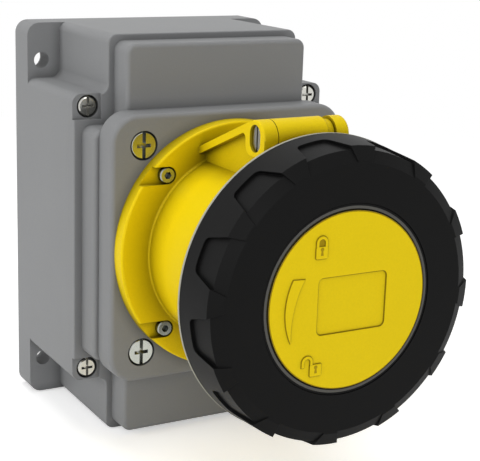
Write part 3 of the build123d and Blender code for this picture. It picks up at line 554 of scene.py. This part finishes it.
def plate_from_outline(
    name: str, outline: Outline, depth: float, rise: float, edge: float
) -> bpy.types.Object:
    """Makes a thin raised shape with a softened front edge, its foot sunk a little into the face under it.

    Args:
        name: the piece's name.
        outline: corner points as (x, z) in millimetres, seen from the front.
        depth: distance of the carrying face from the wall, in millimetres.
        rise: how far the shape stands out, in millimetres.
        edge: width of the edge's bevel, in millimetres, or 0 for none.

    Returns:
        The new object.
    """
    sunk, edge_steps, edge_fullness = 0.15, 2, 0.6
    bm = bmesh.new()
    back = [bm.verts.new((x * MM, -(depth - sunk) * MM, z * MM)) for x, z in outline]
    face = bm.faces.new(back)
    out = bmesh.ops.extrude_face_region(bm, geom=[face])
    moved = [g for g in out["geom"] if isinstance(g, bmesh.types.BMVert)]
    bmesh.ops.translate(bm, verts=moved, vec=(0, -(rise + sunk) * MM, 0))
    bmesh.ops.recalc_face_normals(bm, faces=bm.faces[:])
    if edge:
        front = [e for e in bm.edges if all(v in moved for v in e.verts)]
        bmesh.ops.bevel(
            bm, geom=front, offset=edge * MM, segments=edge_steps, affect="EDGES", profile=edge_fullness
        )
    return into_scene(name, bm)


def arc_points(cx: float, cz: float, radius: float, start: float, end: float, steps: int) -> Outline:
    """Works out points on a circular arc.

    Args:
        cx: centre, to the right.
        cz: centre, up.
        radius: the arc's radius.
        start: first angle in degrees from the right.
        end: last angle in degrees.
        steps: number of spans.

    Returns:
        The points as (x, z).
    """
    turn = [math.radians(start + (end - start) * i / steps) for i in range(steps + 1)]
    return [(cx + radius * math.cos(a), cz + radius * math.sin(a)) for a in turn]


def grown(outline: Outline, by: float) -> Outline:
    """Moves an outline outward.

    Args:
        outline: corner points, either way round.
        by: how far each side moves out, in millimetres.

    Returns:
        The larger outline, with sharp corners cut back.
    """
    turns_back, least_lean, most_stretch = 0.2, 0.3, 1.8
    count = len(outline)
    pairs = [(outline[i], outline[(i + 1) % count]) for i in range(count)]
    area = sum(p[0] * q[1] - q[0] * p[1] for p, q in pairs)
    way = 1.0 if area > 0 else -1.0
    moved = []
    for i, (x, z) in enumerate(outline):
        before = Vector(outline[i - 1])
        after = Vector(outline[(i + 1) % count])
        here = Vector((x, z))
        first = (here - before).normalized()
        second = (after - here).normalized()
        out_a = Vector((first.y, -first.x)) * way
        out_b = Vector((second.y, -second.x)) * way
        middle = out_a + out_b
        if middle.length < turns_back:
            middle = out_a
        middle.normalize()
        stretch = min(1.0 / max(middle.dot(out_a), least_lean), most_stretch)
        moved.append((x + middle.x * by * stretch, z + middle.y * by * stretch))
    return moved


def turned(name: str, profile: Outline, steps: int) -> bpy.types.Object:
    """Makes a ring turned round the socket's axis.

    Args:
        name: the piece's name.
        profile: closed section as (radius, depth from the wall) in millimetres.
        steps: number of spans round the axis.

    Returns:
        The new smooth-shaded object.
    """
    bm = bmesh.new()
    rings = []
    for i in range(steps):
        turn = 2 * math.pi * i / steps
        across, up = math.cos(turn), math.sin(turn)
        rings.append([bm.verts.new((r * across * MM, -d * MM, r * up * MM)) for r, d in profile])
    for i in range(steps):
        here, after = rings[i], rings[(i + 1) % steps]
        for j in range(len(profile)):
            k = (j + 1) % len(profile)
            bm.faces.new((here[j], here[k], after[k], after[j]))
    bmesh.ops.recalc_face_normals(bm, faces=bm.faces[:])
    made = into_scene(name, bm)
    for face in made.data.polygons:
        face.use_smooth = True
    made.data.set_sharp_from_angle(angle=SHARP_ANGLE)
    return made


def thin_frame(name: str, outer: Outline, inner: Outline, depth: float, thick: float) -> bpy.types.Object:
    """Makes a thin closed band between two outlines of as many points, facing the front.

    Args:
        name: the piece's name.
        outer: its outer points as (x, z) in millimetres.
        inner: its inner points.
        depth: distance of its front from the wall, in millimetres.
        thick: its thickness.

    Returns:
        The new object.
    """
    bm = bmesh.new()
    back = depth - thick
    rows = [
        [bm.verts.new((x * MM, -d * MM, z * MM)) for x, z in line]
        for line, d in ((outer, depth), (inner, depth), (inner, back), (outer, back))
    ]
    for i in range(len(outer)):
        k = (i + 1) % len(outer)
        for j, here in enumerate(rows):
            after = rows[(j + 1) % len(rows)]
            bm.faces.new((here[i], here[k], after[k], after[i]))
    bmesh.ops.recalc_face_normals(bm, faces=bm.faces[:])
    return into_scene(name, bm)


def round_corners(width: float, height: float, x: float, z: float, radius: float) -> Outline:
    """Works out a rectangle with rounded corners.

    Args:
        width: size to the right.
        height: size up.
        x: middle, to the right.
        z: middle, up.
        radius: corner radius.

    Returns:
        The points, counterclockwise.
    """
    spans = 4
    w, h = width / 2 - radius, height / 2 - radius
    corners = [(x + w, z + h, 0), (x - w, z + h, 90), (x - w, z - h, 180), (x + w, z - h, 270)]
    return [point for cx, cz, turn in corners for point in arc_points(cx, cz, radius, turn, turn + 90, spans)]


@dataclass
class WallBox:
    """The grey box: base, cover, adapter plate and what fastens and seals them."""

    dresser: Dresser

    def dress(self) -> None:
        """Gives the box its finishes."""
        self.dresser.nodes(GREY_ABS, "base", "cover", "adapter_plate")
        self.dresser.nodes(ZINC_STEEL, "cover_screws", "earth_rail_fixings", "earth_rail_screws")
        self.dresser.nodes(LARGE_STEEL, "adapter_screws")
        self.dresser.nodes(BLACK_NITRILE, "cover_gasket", "adapter_gasket")
        self.dresser.nodes(TURNED_BRASS, "flange_inserts", "earth_rail")


@dataclass
class SocketInsert:
    """The yellow socket body with its carrier, contacts and hinge pin."""

    dresser: Dresser

    def dress(self) -> None:
        """Gives the socket its finishes."""
        self.dresser.nodes(YELLOW_PA, "socket_body")
        self.dresser.nodes(ZINC_STEEL, "hinge_pin", "hinge_spring", "contact_springs")
        self.dresser.nodes(DULL_STEEL, "flange_screws")
        self.dresser.nodes(ZINC_STEEL, "terminal_screws", "carrier_screws", "carrier_rear_screws")
        self.dresser.nodes(TURNED_BRASS, "line_contacts", "earth_contact", "pilot_contact")
        self.dresser.nodes(BLACK_PHENOLIC, "carrier_front", "carrier_rear")
        self.dresser.nodes(BLACK_NITRILE, "flange_gasket")


@dataclass
class LidCollar:
    """The collar that keeps the ring on the lid, its dark skirt and the painted shade of the gap to the disc.

    Radii and lengths are in millimetres. The bands' angles run round the disc's rounded edge, from 0 where
    its face ends to 90 at its side.
    """

    dresser: Dresser
    face_depth: float
    disc_r: float
    disc_edge: float = 0.6
    low: float = 0.5
    length: float = 1.6
    inside_r: float = 34.1
    outside_r: float = 35.3
    waist_r: float = 34.5
    foot_r: float = 33.75
    nose_r: float = 0.3
    nose_turns: tuple[float, ...] = (0.0, 0.52, 1.05, 1.57)
    chamfer: float = 0.1
    skirt_r: float = 36.08
    skirt_low: float = 0.1
    skirt_lap: float = 0.2
    skin_over: float = 0.02
    skin_under: float = 0.05
    band_start: float = 8.0
    band_gap_shade_from: float = 48.0
    band_end: float = 88.0
    band_spans: int = 5
    spans: int = 160

    def collar(self) -> None:
        """Adds the collar with its rounded front edge."""
        front = self.face_depth - self.low
        back = front - self.length
        r = self.nose_r
        middle_r, middle_d = self.outside_r - r, front - r
        nose = [(middle_r + r * math.cos(a), middle_d + r * math.sin(a)) for a in self.nose_turns]
        section = [
            (self.waist_r, back),
            *nose,
            (self.inside_r + self.chamfer, front),
            (self.inside_r, front - self.chamfer),
            (self.foot_r, back),
        ]
        made = turned("collar_turned", section, self.spans)
        self.dresser.paint(made, GREY_ACETAL)
        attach(made, Body.LID.value)
        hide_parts("retaining_collar")
        LOG.info("piece %s", made.name)

    def skirt(self) -> None:
        """Adds the dark skirt that closes the gap between the collar and the ring."""
        back = self.face_depth - self.low - self.length
        front = self.face_depth - self.low - self.skirt_low
        section = [
            (self.waist_r, back),
            (self.skirt_r, back),
            (self.skirt_r, front - self.chamfer),
            (self.skirt_r - self.chamfer, front),
            (self.outside_r - self.skirt_lap, front),
        ]
        skirt = turned("collar_skirt", section, self.spans)
        self.dresser.paint(skirt, BLACK_PA)
        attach(skirt, Body.LID.value)
        LOG.info("piece %s", skirt.name)

    def edge_band(self, name: str, start: float, end: float, finish: MouldedPlastic) -> None:
        """Adds one thin band on the disc's rounded edge, painted darker as the shade of the gap to the
        collar.

        Args:
            name: the piece's name.
            start: first angle of the round.
            end: last angle.
            finish: what it is made of.
        """
        middle_r, middle_d = self.disc_r - self.disc_edge, self.face_depth - self.disc_edge
        count = self.band_spans
        turns = [math.radians(start + (end - start) * i / count) for i in range(count + 1)]
        skin = self.disc_edge + self.skin_over
        over = [(middle_r + skin * math.sin(a), middle_d + skin * math.cos(a)) for a in turns]
        skin = self.disc_edge - self.skin_under
        under = [(middle_r + skin * math.sin(a), middle_d + skin * math.cos(a)) for a in reversed(turns)]
        made = turned(name, over + under, self.spans)
        self.dresser.paint(made, finish)
        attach(made, Body.LID.value)
        LOG.info("piece %s", name)

    def dress(self) -> None:
        """Adds the collar, its skirt and the two bands of painted shade in the gap to the disc."""
        self.collar()
        self.skirt()
        # painted shade on the disc's edge: a dark yellow band, then a black one in the nitrile finish
        self.edge_band("disc_edge_shade", self.band_start, self.band_gap_shade_from, YELLOW_PA_PAINTED_SHADE)
        self.edge_band("disc_edge_gap_shade", self.band_gap_shade_from, self.band_end, BLACK_NITRILE)


@dataclass
class DiscMarks:
    """The marks on the lid's disc: the blank panel's corner, two padlocks and a tapered arc.

    Sizes are in millimetres, and places are (x, z) from the disc's middle, to the right and up. A mark
    stands on a slightly wider flat shape, its corner shade. The shut shackle's feet reach foot_in into the
    body. Its opening and the open shackle's long foot reach long_foot_in.
    """

    dresser: Dresser
    face_depth: float
    rise: float = 0.45
    edge: float = 0.12
    shade_w: float = 0.3
    shade_rise: float = 0.015
    opening_rise: float = 0.02
    body_w: float = 4.9
    body_h: float = 4.5
    shackle_r: float = 2.35
    shackle_t: float = 1.05
    foot_in: float = 0.2
    long_foot_in: float = 0.3
    outer_spans: int = 18
    inner_spans: int = 14
    shut_at: tuple[float, float] = (-12.6, 19.4)
    shut_round: float = 0.6
    shut_lift: float = 1.45
    shut_key_up: float = 1.25
    open_at: tuple[float, float] = (-13.05, -24.6)
    open_round: float = 0.5
    open_left: float = 3.65
    open_lift: float = 3.45
    open_end: float = 1.9
    open_key_up: float = 1.2
    key_r: float = 0.72
    key_foot_half_w: float = 0.55
    key_stem_len: float = 2.3
    panel_w: float = 29.76
    panel_h: float = 21.66
    panel_at: tuple[float, float] = (1.65, -1.0)
    panel_round: float = 2.18
    panel_line: float = 0.35
    panel_sunk: float = 0.5
    panel_thick: float = 0.1

    def settle(self, made: bpy.types.Object, finish: MouldedPlastic) -> None:
        """Dresses a mark and lets it move with the lid.

        Args:
            made: the new mark.
            finish: what it is made of.
        """
        self.dresser.paint(made, finish)
        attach(made, Body.LID.value)
        LOG.info("piece %s", made.name)

    def flat(self, name: str, outline: Outline, low: float, rise: float) -> None:
        """Adds a flat shape of painted corner shade."""
        made = plate_from_outline(name, outline, self.face_depth + low, rise, 0.0)
        self.settle(made, YELLOW_PA_PAINTED_SHADE)

    def relief(self, name: str, outline: Outline) -> None:
        """Adds a raised shape with softened edges."""
        made = plate_from_outline(name, outline, self.face_depth, self.rise, self.edge)
        self.settle(made, YELLOW_PA)

    def raised(self, name: str, outline: Outline) -> None:
        """Adds a raised mark with the shaded corner round its foot."""
        self.flat(name + "_corner", grown(outline, self.shade_w), 0.0, self.shade_rise)
        self.relief(name, outline)

    def keyhole(self, name: str, x: float, z: float) -> None:
        """Adds a keyhole on a padlock's body: a round over a stem that widens downward, in the corner shade.

        Args:
            name: the piece's name.
            x: middle, to the right.
            z: middle of the round, up.
        """
        foot = z - self.key_stem_len
        stem = [(x - self.key_foot_half_w, foot), (x + self.key_foot_half_w, foot)]
        outline = arc_points(x, z, self.key_r, -60, 240, self.inner_spans) + stem
        self.flat(name, outline, self.rise, self.shade_rise)

    def shut_padlock(self) -> None:
        """Adds the shut padlock, the opening of its shackle in the corner shade."""
        x, z = self.shut_at
        top = z + self.body_h / 2
        middle, foot = top + self.shut_lift, top - self.foot_in
        r, t = self.shackle_r, self.shackle_t
        bow = arc_points(x, middle, r, 0, 180, self.outer_spans)
        low = top - self.long_foot_in
        opening = grown([*bow, (x - r, low), (x + r, low)], self.shade_w)
        self.flat("lock_shut_opening", opening, 0.0, self.opening_rise)
        bow += [(x - r, foot), (x - r + t, foot)]
        bow += arc_points(x, middle, r - t, 180, 0, self.inner_spans)
        bow += [(x + r - t, foot), (x + r, foot)]
        self.relief("lock_shut_shackle", bow)
        self.raised("lock_shut_body", round_corners(self.body_w, self.body_h, x, z, self.shut_round))
        self.keyhole("lock_shut_keyhole", x, z + self.shut_key_up)

    def open_padlock(self) -> None:
        """Adds the open padlock, its shackle swung out to the upper left."""
        x, z = self.open_at
        cx, cz = x - self.open_left, z + self.open_lift
        end, foot = cz - self.open_end, z + self.body_h / 2 - self.long_foot_in
        r, t = self.shackle_r, self.shackle_t
        bow = arc_points(cx, cz, r, 0, 180, self.outer_spans)
        bow += [(cx - r, end), (cx - r + t, end)]
        bow += arc_points(cx, cz, r - t, 180, 0, self.inner_spans)
        bow += [(cx + r - t, foot), (cx + r, foot)]
        self.raised("lock_open_shackle", bow)
        self.raised("lock_open_body", round_corners(self.body_w, self.body_h, x, z, self.open_round))
        self.keyhole("lock_open_keyhole", x, z + self.open_key_up)

    def tapered_arc(self) -> None:
        """Adds the arc beside the panel, wide at the top and pointed at the bottom."""
        outer = arc_points(cx=0.0, cz=-1.5, radius=26.8, start=153.5, end=205.2, steps=22)
        inner = arc_points(cx=18.04, cz=-9.73, radius=42.26, start=183.6, end=151.8, steps=20)
        self.raised("lid_arc", outer + inner)

    def panel_corner(self) -> None:
        """Adds the shaded corner round the floor of the sunk blank panel."""
        outer = round_corners(self.panel_w, self.panel_h, *self.panel_at, self.panel_round)
        inner_w, inner_h = self.panel_w - 2 * self.panel_line, self.panel_h - 2 * self.panel_line
        inner = round_corners(inner_w, inner_h, *self.panel_at, self.panel_round - self.panel_line)
        depth = self.face_depth - self.panel_sunk + self.shade_rise
        self.settle(thin_frame("lid_panel_corner", outer, inner, depth, self.panel_thick), YELLOW_PA_PAINTED_SHADE)

    def dress(self) -> None:
        """Adds all the marks."""
        self.panel_corner()
        self.shut_padlock()
        self.open_padlock()
        self.tapered_arc()


@dataclass
class HingedLid:
    """The yellow lid with its seal, collar and marks, in millimetres."""

    dresser: Dresser
    face_depth: float = 183.4
    disc_r: float = 33.7

    def dress(self) -> None:
        """Gives the lid its finishes, its collar and its marks."""
        self.dresser.nodes(YELLOW_PA, "lid")
        self.dresser.nodes(BLACK_NITRILE, "lid_seal")
        LidCollar(self.dresser, self.face_depth, self.disc_r).dress()
        DiscMarks(self.dresser, self.face_depth).dress()


@dataclass
class LockingRing:
    """The black ring with its light rear trim, in millimetres."""

    dresser: Dresser
    rear_depth: float = 162.0
    rear_r: float = 57.7
    trim_out: float = 0.15
    trim_len: float = 1.35
    trim_w: float = 3.2
    trim_round: float = 0.35
    trim_turns: tuple[float, ...] = (0.0, 0.4, 0.8, 1.2, 1.57)
    spans: int = 180

    def trim(self) -> None:
        """Adds the soft trim on the ring's rear edge, with its rounded outer corner."""
        out, back = self.rear_r + self.trim_out, self.rear_depth - self.trim_len
        inner = out - self.trim_w
        r = self.trim_round
        corner = [(out - r + r * math.cos(a), back + r - r * math.sin(a)) for a in self.trim_turns]
        section = [(out, self.rear_depth), *corner, (inner, back), (inner, self.rear_depth)]
        made = turned("edge_trim_soft", section, self.spans)
        self.dresser.paint(made, PALE_ELASTOMER)
        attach(made, Body.RING.value)
        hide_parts("edge_trim")
        LOG.info("piece %s", made.name)

    def dress(self) -> None:
        """Gives the ring its finish and its trim."""
        self.dresser.nodes(BLACK_PA, "locking_ring")
        self.trim()


@dataclass(frozen=True)
class SoftLamp:
    """One square soft lamp: its name, place in metres, side in metres and power in watts."""

    name: str
    place: Triple
    size: float
    power: float


@dataclass
class Studio:
    """Pale floor, white surroundings and soft lamps at a plain level, in metres.

    Near the object the floor is paper that keeps the shadow, with lift added for the eye. It fades to the
    white of the surroundings between fade_start and fade_end from the middle.
    """

    floor_half: float = 4.0
    floor_gap: float = 0.0002
    fade_start: float = 0.22
    fade_end: float = 0.75
    lift: float = 0.42
    ambient: float = 0.32
    paper: str = "FAFAFA"
    aim: Triple = (0.0, -0.09, 0.0)
    lamps: tuple[SoftLamp, ...] = (
        SoftLamp("lamp_left", (-1.9, 0.1, 0.6), 1.2, 12.0),
        SoftLamp("lamp_top", (0.0, 0.0, 1.9), 1.2, 14.0),
        SoftLamp("lamp_front", (-1.0, -2.2, 0.8), 1.4, 15.5),
    )

    @staticmethod
    def seen_rays(tree: bpy.types.NodeTree) -> bpy.types.NodeSocket:
        """Tells the rays that see the surroundings from those that light the object.

        Args:
            tree: the material's or world's node tree.

        Returns:
            1 for camera, glossy and transmission rays and 0 for the others.
        """
        rays = node(tree, "ShaderNodeLightPath")
        first = node(
            tree,
            "ShaderNodeMath",
            {"operation": "MAXIMUM"},
            {0: rays.outputs["Is Camera Ray"], 1: rays.outputs["Is Glossy Ray"]},
        )
        both = node(
            tree,
            "ShaderNodeMath",
            {"operation": "MAXIMUM"},
            {0: first.outputs[0], 1: rays.outputs["Is Transmission Ray"]},
        )
        return both.outputs[0]

    def floor(self) -> None:
        """Lays white paper that keeps the object's shadow and fades into the white surroundings."""
        height = CAD_BOX[0][2] - self.floor_gap
        bpy.ops.mesh.primitive_plane_add(size=2 * self.floor_half, location=(0, 0, height))
        ground = bpy.context.object
        ground.name = "studio_floor"
        made, tree = start_material("studio_floor_paper")
        seen = self.seen_rays(tree)
        place = node(tree, "ShaderNodeTexCoord").outputs["Object"]
        far = node(tree, "ShaderNodeVectorMath", {"operation": "LENGTH"}, {0: place})
        fade = node(
            tree,
            "ShaderNodeMapRange",
            {"interpolation_type": "SMOOTHSTEP", "From Min": self.fade_start, "From Max": self.fade_end},
            {"Value": far.outputs["Value"]},
        )
        share = node(tree, "ShaderNodeMath", {"operation": "MULTIPLY"}, {0: seen, 1: fade.outputs["Result"]})
        raised = node(tree, "ShaderNodeMath", {"operation": "MULTIPLY", 1: self.lift}, {0: seen})
        paper = node(tree, "ShaderNodeBsdfDiffuse", {"Color": srgb(self.paper), "Roughness": 0.5})
        glow = node(tree, "ShaderNodeEmission", {"Color": (1, 1, 1, 1)}, {"Strength": raised.outputs[0]})
        near = node(
            tree, "ShaderNodeAddShader", links={0: paper.outputs["BSDF"], 1: glow.outputs["Emission"]}
        )
        white = node(tree, "ShaderNodeEmission", {"Color": (1, 1, 1, 1), "Strength": 1.0})
        ground_shader = node(
            tree,
            "ShaderNodeMixShader",
            links={0: share.outputs[0], 1: near.outputs[0], 2: white.outputs["Emission"]},
        )
        node(tree, "ShaderNodeOutputMaterial", links={"Surface": ground_shader.outputs[0]})
        ground.data.materials.append(made)

    def surroundings(self) -> None:
        """Makes the world white to the eye and in reflections, with plain soft light on the object."""
        world = bpy.data.worlds.new("studio_world")
        bpy.context.scene.world = world
        world.use_nodes = True
        tree = world.node_tree
        tree.nodes.clear()
        soft = node(tree, "ShaderNodeBackground", {"Color": (1, 1, 1, 1), "Strength": self.ambient})
        white = node(tree, "ShaderNodeBackground", {"Color": (1, 1, 1, 1), "Strength": 1.0})
        mix = node(
            tree,
            "ShaderNodeMixShader",
            links={0: self.seen_rays(tree), 1: soft.outputs[0], 2: white.outputs[0]},
        )
        node(tree, "ShaderNodeOutputWorld", links={"Surface": mix.outputs[0]})

    def hang(self, lamp: SoftLamp) -> None:
        """Adds one lamp aimed at the object.

        Args:
            lamp: its name, place, size and power.
        """
        data = bpy.data.lights.new(lamp.name, "AREA")
        data.size = lamp.size
        data.energy = lamp.power
        made = bpy.data.objects.new(lamp.name, data)
        bpy.context.scene.collection.objects.link(made)
        ahead = Vector(self.aim) - Vector(lamp.place)
        facing = ahead.to_track_quat("-Z", "Y").to_matrix().to_4x4()
        made.matrix_world = Matrix.Translation(lamp.place) @ facing
        LOG.info("lamp %s", lamp.name)

    def build(self) -> None:
        """Puts up the studio."""
        self.floor()
        self.surroundings()
        for lamp in self.lamps:
            self.hang(lamp)


@dataclass
class PhotoCamera:
    """Camera at the photograph's viewing angle, with its slight roll. Its axes are unit vectors."""

    place_mm: Triple = (-259.763, -555.628, 140.853)
    right: Triple = (0.87093964, -0.49036553, 0.03171426)
    down: Triple = (-0.09515523, -0.23161977, -0.9681414)
    ahead: Triple = (0.48208882, 0.84017494, -0.24838769)
    lens_mm: float = 97.97
    sensor_mm: float = 36.0
    nearest_mm: float = 10.0

    def build(self) -> None:
        """Creates the camera and makes it the scene's."""
        data = bpy.data.cameras.new("photo_camera")
        data.lens = self.lens_mm
        data.sensor_width = self.sensor_mm
        data.clip_start = self.nearest_mm * MM
        made = bpy.data.objects.new("photo_camera", data)
        bpy.context.scene.collection.objects.link(made)
        axes = Matrix((self.right, [-c for c in self.down], [-c for c in self.ahead])).transposed()
        made.matrix_world = Matrix.Translation(Vector(self.place_mm) * MM) @ axes.to_4x4()
        bpy.context.scene.camera = made


def main() -> None:
    """Builds the classes in order."""
    logging.basicConfig(level=logging.INFO, format="%(name)s: %(message)s")
    bpy.context.scene.view_settings.view_transform = "Standard"
    dresser = Dresser()
    for part in (WallBox(dresser), SocketInsert(dresser), HingedLid(dresser), LockingRing(dresser)):
        part.dress()
    Studio().build()
    PhotoCamera().build()


if __name__ == "__main__":
    main()
